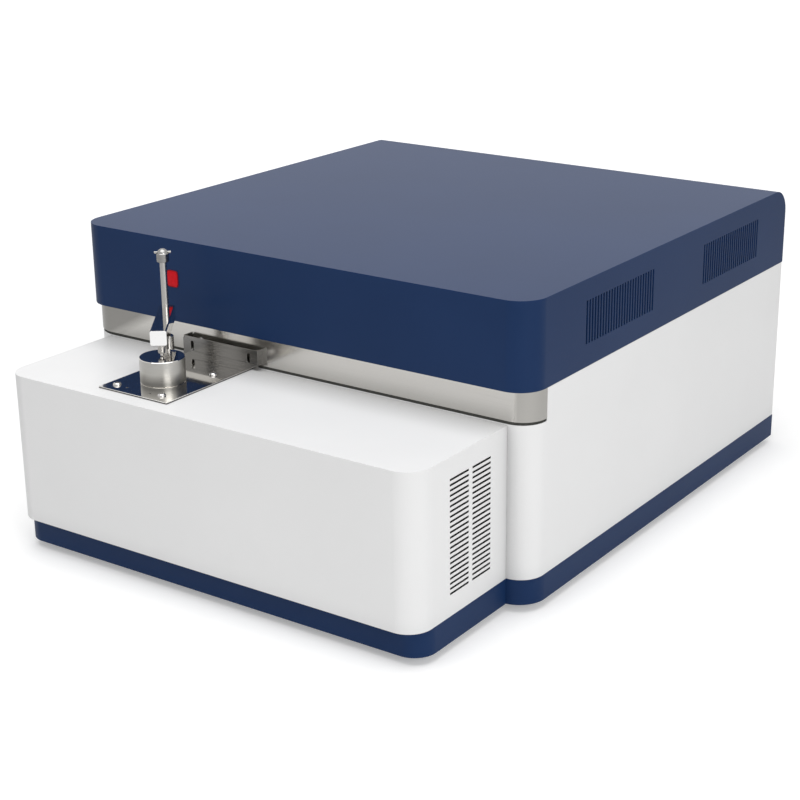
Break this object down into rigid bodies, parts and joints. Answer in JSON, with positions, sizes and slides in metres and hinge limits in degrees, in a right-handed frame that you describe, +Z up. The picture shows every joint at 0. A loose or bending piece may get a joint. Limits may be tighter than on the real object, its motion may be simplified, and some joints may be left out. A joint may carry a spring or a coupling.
{
  "type": "spark emission spectrometer",
  "caption": "Benchtop spark emission spectrometer with a vented front box, a polished spark stand, a sample under a swinging clamp arm, and a slotted cover.",
  "frame": {"origin": "middle of the footprint, rear fittings included, at table height", "axes": "+Z up, the front box and its spark stand face -Y, +X to the right seen from the front"},
  "size_m": [0.64, 0.839, 0.3585],
  "materials": {
    "navy_paint": "satin navy powder coat with a fine texture",
    "white_paint": "white powder coat with a fine texture",
    "black_rubber": "matt black rubber",
    "brushed_band": "stainless steel brushed along the band",
    "galvanised_sheet": "galvanised steel sheet",
    "zinc_screws": "zinc plated screws",
    "polished_steel": "mirror polished steel",
    "stainless_screws": "bright stainless steel",
    "dark_brushed_steel": "brushed steel in shade",
    "machined_aluminium": "machined aluminium",
    "cast_aluminium": "cast aluminium",
    "white_ceramic": "glazed white ceramic",
    "bare_brass": "turned brass",
    "tungsten_rod": "ground tungsten",
    "black_anodised": "black anodised aluminium",
    "clear_quartz": "clear fused quartz",
    "black_sheath": "black plastic sheath",
    "grating_mirror": "ruled concave mirror",
    "green_board": "green circuit board",
    "black_plastic": "black moulded plastic",
    "blue_sleeve": "blue capacitor sleeve",
    "red_silicone": "red silicone cable sheath",
    "blue_tube": "blue plastic gas tube",
    "nickel_pins": "nickel plated pins",
    "turned_steel": "fine turned steel",
    "spring_wire": "spring steel wire"
  },
  "bodies": {
    "case": {"plinth_tray": "navy_paint", "rubber_feet": "black_rubber", "main_shell": "white_paint", "front_box_cover": "white_paint", "trim_band": "brushed_band", "band_seal": "black_rubber", "equipment_deck": "galvanised_sheet", "top_cover": "navy_paint", "panel_screws": "zinc_screws", "stand_plate": "polished_steel", "stand_plate_screws": "stainless_screws", "stand_bracket": "dark_brushed_steel", "spark_chamber": "machined_aluminium", "stand_pillars": "machined_aluminium", "electrode_insulator": "white_ceramic", "electrode_holder": "bare_brass", "counter_electrode": "tungsten_rod", "lens_holder": "black_anodised", "entrance_lens": "clear_quartz", "light_guide": "black_sheath", "optics_chamber": "cast_aluminium", "optics_cover": "machined_aluminium", "optics_isolators": "black_rubber", "entrance_slit": "black_anodised", "grating": "grating_mirror", "grating_mount": "black_anodised", "detector_rail": "machined_aluminium", "detector_boards": "green_board", "detector_chips": "black_plastic", "spark_source_frame": "galvanised_sheet", "spark_capacitors": "blue_sleeve", "ignition_coil": "black_plastic", "spark_lead": "red_silicone", "power_supply": "galvanised_sheet", "control_board": "green_board", "argon_valve_unit": "machined_aluminium", "gas_tubes": "blue_tube", "rear_panel": "white_paint", "fan_frames": "black_plastic", "fan_guards": "stainless_screws", "fan_screws": "zinc_screws", "mains_inlet": "black_plastic", "mains_inlet_pins": "nickel_pins", "switch_housing": "black_plastic", "data_ports": "stainless_screws", "argon_inlet_fitting": "bare_brass", "argon_exhaust_fitting": "bare_brass", "gas_fitting_nuts": "bare_brass", "post_sleeve": "turned_steel"},
    "clamp_post": {"clamp_post": "turned_steel", "clamp_knob": "turned_steel", "knob_cross_pin": "turned_steel"},
    "clamp_arm": {"clamp_arm": "polished_steel", "pin_collar": "turned_steel", "pin_spring": "spring_wire"},
    "pressure_pin": {"pressure_pin": "turned_steel"},
    "metal_sample": {"metal_sample": "polished_steel"},
    "switch_rocker": {"switch_rocker": "black_plastic"},
    "fan_rotor_left": {"fan_rotor_left": "black_plastic"},
    "fan_rotor_right": {"fan_rotor_right": "black_plastic"}
  },
  "joints": [
    {"name": "post_swivel", "type": "hinge", "parent": "case", "child": "clamp_post", "pos_m": [-0.14699, -0.29299, 0.23], "axis": [0, 0, 1], "range_deg": [-120, 45]},
    {"name": "arm_lift", "type": "slide", "parent": "clamp_post", "child": "clamp_arm", "axis": [0, 0, 1], "range_m": [0, 0.054]},
    {"name": "pin_press", "type": "slide", "parent": "clamp_arm", "child": "pressure_pin", "axis": [0, 0, 1], "range_m": [0, 0.004], "stiffness_N_per_m": 500, "springref_m": -0.004, "deforming": ["pin_spring"]},
    {"name": "sample_slide", "type": "slide", "parent": "case", "child": "metal_sample", "axis": [0, -1, 0], "range_m": [0, 0.045]},
    {"name": "mains_switch", "type": "hinge", "parent": "case", "child": "switch_rocker", "pos_m": [0.165, 0.3915, 0.132], "axis": [1, 0, 0], "range_deg": [-20, 0]},
    {"name": "fan_left_spin", "type": "hinge", "parent": "case", "child": "fan_rotor_left", "pos_m": [-0.055, 0.38, 0.17], "axis": [0, 1, 0], "continuous": true},
    {"name": "fan_right_spin", "type": "hinge", "parent": "case", "child": "fan_rotor_right", "pos_m": [0.055, 0.38, 0.17], "axis": [0, 1, 0], "continuous": true}
  ]
}
